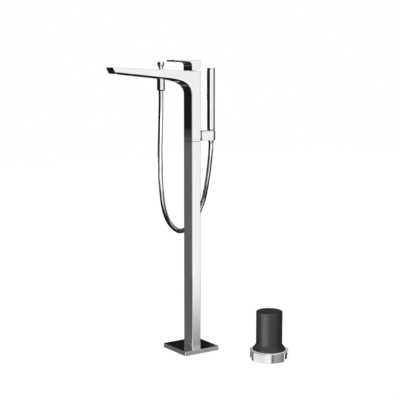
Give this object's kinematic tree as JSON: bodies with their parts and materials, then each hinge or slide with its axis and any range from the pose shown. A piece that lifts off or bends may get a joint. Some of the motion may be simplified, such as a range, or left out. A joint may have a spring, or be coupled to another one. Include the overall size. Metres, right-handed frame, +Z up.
{
  "type": "floor standing bath filler",
  "caption": "Floor standing bath filler: rectangular column with an arm spout, lever mixer, pull diverter, stick handset on a metal hose, and the capped floor unit that carries it.",
  "frame": {"origin": "centre of the base plate, on the floor", "axes": "+Z up along the column, spout towards -Y, handset behind the column on +Y, floor unit on the +X side"},
  "size_m": [0.3515, 0.479, 0.9],
  "materials": {
    "chrome": "polished chrome plate",
    "hose_metal": "polished interlocked metal strip",
    "ring_metal": "turned metal",
    "steel": "satin",
    "brass": "machined",
    "rubber": "matt",
    "silicone": "soft matt",
    "grey_plastic": "moulded",
    "black_plastic": "moulded",
    "cap_plastic": "moulded, slightly glossy"
  },
  "bodies": {
    "root": {"base_cover_plate": "chrome", "floor_flange": "steel", "column_spigot": "steel", "floor_gasket": "rubber", "inlet_sockets": "brass", "hot_supply_pipe": "brass", "cold_supply_pipe": "brass", "column_tube": "chrome", "column_sleeve": "steel", "column_set_screws": "steel", "spout_body": "chrome", "outlet_insert": "black_plastic", "cartridge_seal": "rubber", "mixing_cartridge": "grey_plastic", "cartridge_nut": "brass", "diverter_bushing": "chrome", "shower_outlet": "chrome", "check_valve": "grey_plastic", "outlet_washer": "rubber", "hose_top_ferrule": "brass", "hose_nut": "chrome", "shower_hose": "hose_metal", "holder_neck": "chrome", "handset_holder": "chrome", "holder_bush": "black_plastic", "holder_screw": "steel", "floor_unit_ring": "ring_metal", "floor_unit_stubs": "brass", "floor_unit_seals": "rubber"},
    "mixer_carrier": {"cartridge_carrier": "grey_plastic", "lever_pin": "steel"},
    "lever": {"lever_stem": "steel", "lever_handle": "chrome", "handle_grub_screw": "steel", "handle_screw_plug": "grey_plastic"},
    "diverter": {"diverter_spindle": "steel", "diverter_seal": "rubber", "diverter_knob": "chrome"},
    "hose_end": {"hose_swivel_ferrule": "chrome"},
    "handset": {"hose_cone_nut": "chrome", "handset_washer": "rubber", "handset_fitting": "chrome", "handset_core": "grey_plastic", "handset_tube": "chrome", "nozzle_strip": "silicone", "handset_cap": "chrome"},
    "cap": {"floor_unit_cap": "cap_plastic"}
  },
  "joints": [
    {"name": "temperature_turn", "type": "hinge", "parent": "root", "child": "mixer_carrier", "pos_m": [0, 0.005, 0.86], "axis": [0, 0, 1], "range_deg": [-45, 45]},
    {"name": "lever_lift", "type": "hinge", "parent": "mixer_carrier", "child": "lever", "pos_m": [0, 0.005, 0.868], "axis": [-1, 0, 0], "range_deg": [0, 24]},
    {"name": "diverter_pull", "type": "slide", "parent": "root", "child": "diverter", "axis": [0, 0, 1], "range_m": [0, 0.008]},
    {"name": "handset_lift", "type": "slide", "parent": "root", "child": "hose_end", "axis": [0, 0, 1], "range_m": [0, 0.12]},
    {"name": "handset_swivel", "type": "hinge", "parent": "hose_end", "child": "handset", "pos_m": [0, 0.0755, 0.66], "axis": [0, 0, 1], "continuous": true},
    {"name": "cap_lift", "type": "slide", "parent": "root", "child": "cap", "axis": [0, 0, 1], "range_m": [0, 0.16]}
  ]
}
